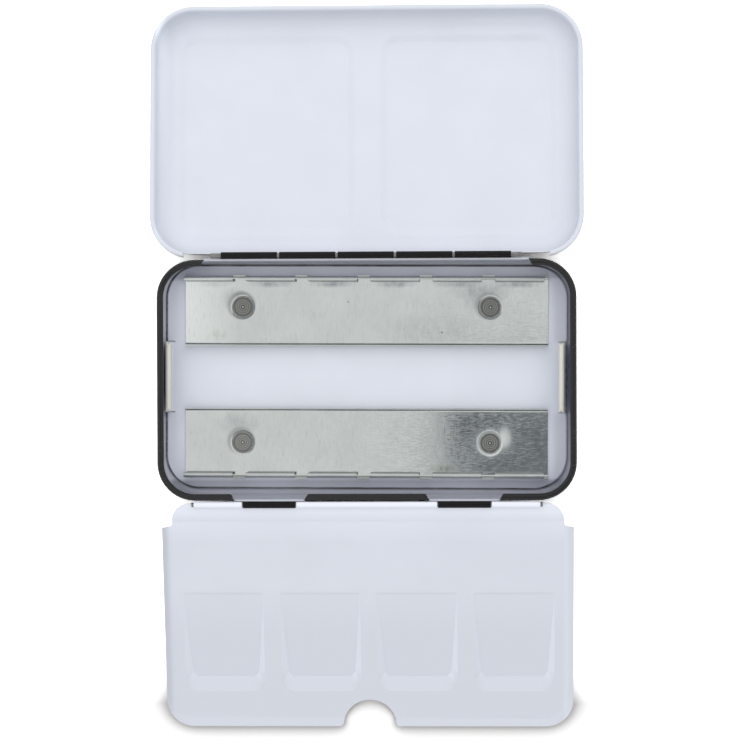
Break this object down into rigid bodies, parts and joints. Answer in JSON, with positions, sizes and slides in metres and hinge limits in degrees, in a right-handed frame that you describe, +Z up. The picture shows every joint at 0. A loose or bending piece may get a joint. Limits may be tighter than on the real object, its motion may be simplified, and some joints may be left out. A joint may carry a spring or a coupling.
{
  "type": "watercolour tin",
  "caption": "Open empty watercolour tin: black tray with clip rails for half pans, white lid with shallow panels and a folding white mixing palette with wedge-shaped wells.",
  "frame": {"origin": "centre of the base's flat underside", "axes": "+X runs along both hinges, +Y from the mixing palette towards the lid, +Z up; the lid and the palette lie open on the table"},
  "size_m": [0.1246, 0.2094, 0.014],
  "materials": {
    "tray_enamel": "gloss black enamel outside and on the rim, white inside",
    "lid_enamel": "gloss white enamel inside, black outside",
    "palette_enamel": "gloss white enamel on both sides",
    "insert_enamel": "gloss white enamel, bare tin on the ears' cut edges",
    "tinplate": "dull tinplate with rolling marks and a light yellowish stain",
    "rivet_metal": "turned, with concentric rings",
    "pin_wire": "plain drawn wire"
  },
  "bodies": {
    "base": {"base_tray": "tray_enamel", "lid_hinge_pin": "pin_wire", "palette_hinge_pin": "pin_wire", "insert_plate": "insert_enamel", "pan_rail_rear": "tinplate", "pan_rail_front": "tinplate", "rear_rail_rivets": "rivet_metal", "front_rail_rivets": "rivet_metal"},
    "lid": {"lid": "lid_enamel"},
    "mixing_palette": {"mixing_palette": "palette_enamel"}
  },
  "joints": [
    {"name": "lid_hinge", "type": "hinge", "parent": "base", "child": "lid", "pos_m": [0, 0.03565, 0.013], "axis": [1, 0, 0], "range_deg": [0, 183.64]},
    {"name": "palette_hinge", "type": "hinge", "parent": "base", "child": "mixing_palette", "pos_m": [0, -0.03565, 0.013], "axis": [-1, 0, 0], "range_deg": [0, 188.7]}
  ]
}
